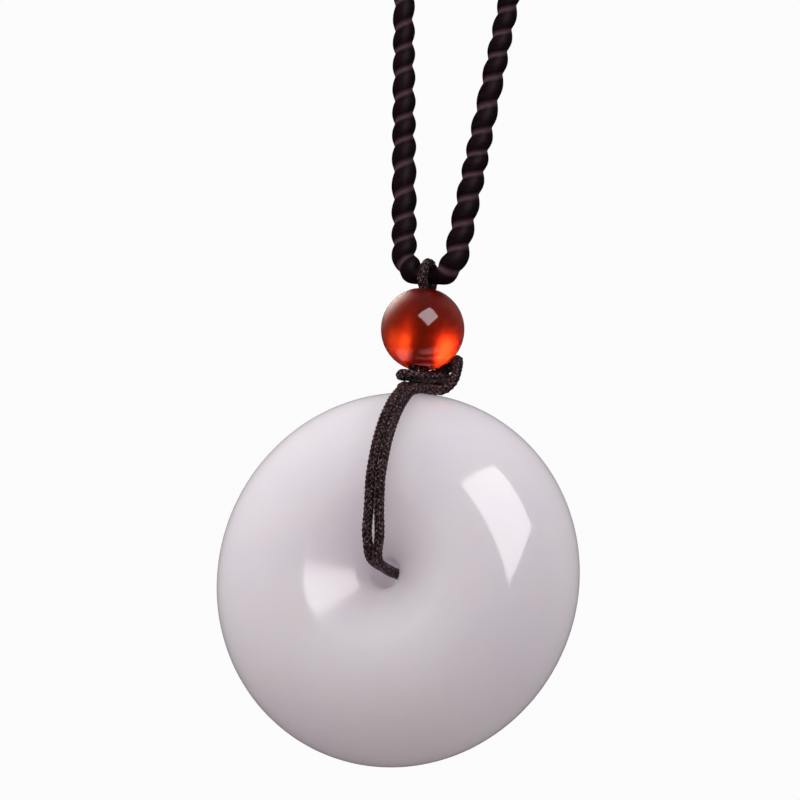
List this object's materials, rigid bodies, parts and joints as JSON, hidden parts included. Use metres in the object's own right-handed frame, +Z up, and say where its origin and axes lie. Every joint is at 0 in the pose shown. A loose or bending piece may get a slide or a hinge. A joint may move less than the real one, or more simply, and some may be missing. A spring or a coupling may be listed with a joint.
{
  "type": "jade disc pendant necklace",
  "caption": "White jade disc pendant with a red agate bead, hung by a thin doubled cord from a dark twisted neck cord that forms a closed loop.",
  "frame": {"origin": "underside of the join at the top of the neck loop, where the loop hangs on a neck or a peg", "axes": "+Z up, front of the disc faces -Y, the neck loop lies in the XZ plane"},
  "size_m": [0.0658, 0.0172, 0.3527],
  "materials": {
    "jade": "polished white jade, faintly clouded",
    "agate": "polished translucent red agate",
    "thin_cord": "dark brown round braid",
    "neck_cord": "dark brown tight twist with a silky sheen",
    "whipping": "dark brown thread wound round the join"
  },
  "bodies": {
    "neck": {"neck_cord": "neck_cord", "cord_join": "whipping"},
    "hanger": {"hanging_cord": "thin_cord", "agate_bead": "agate"},
    "disc": {"jade_disc": "jade"}
  },
  "joints": [
    {"name": "pendant_swing", "type": "hinge", "parent": "neck", "child": "hanger", "pos_m": [0, 0, -0.30207], "axis": [1, 0, 0], "range_deg": [-60, 60]},
    {"name": "disc_turn", "type": "hinge", "parent": "hanger", "child": "disc", "pos_m": [0, 0, -0.33135], "axis": [0, 1, 0], "continuous": true}
  ]
}
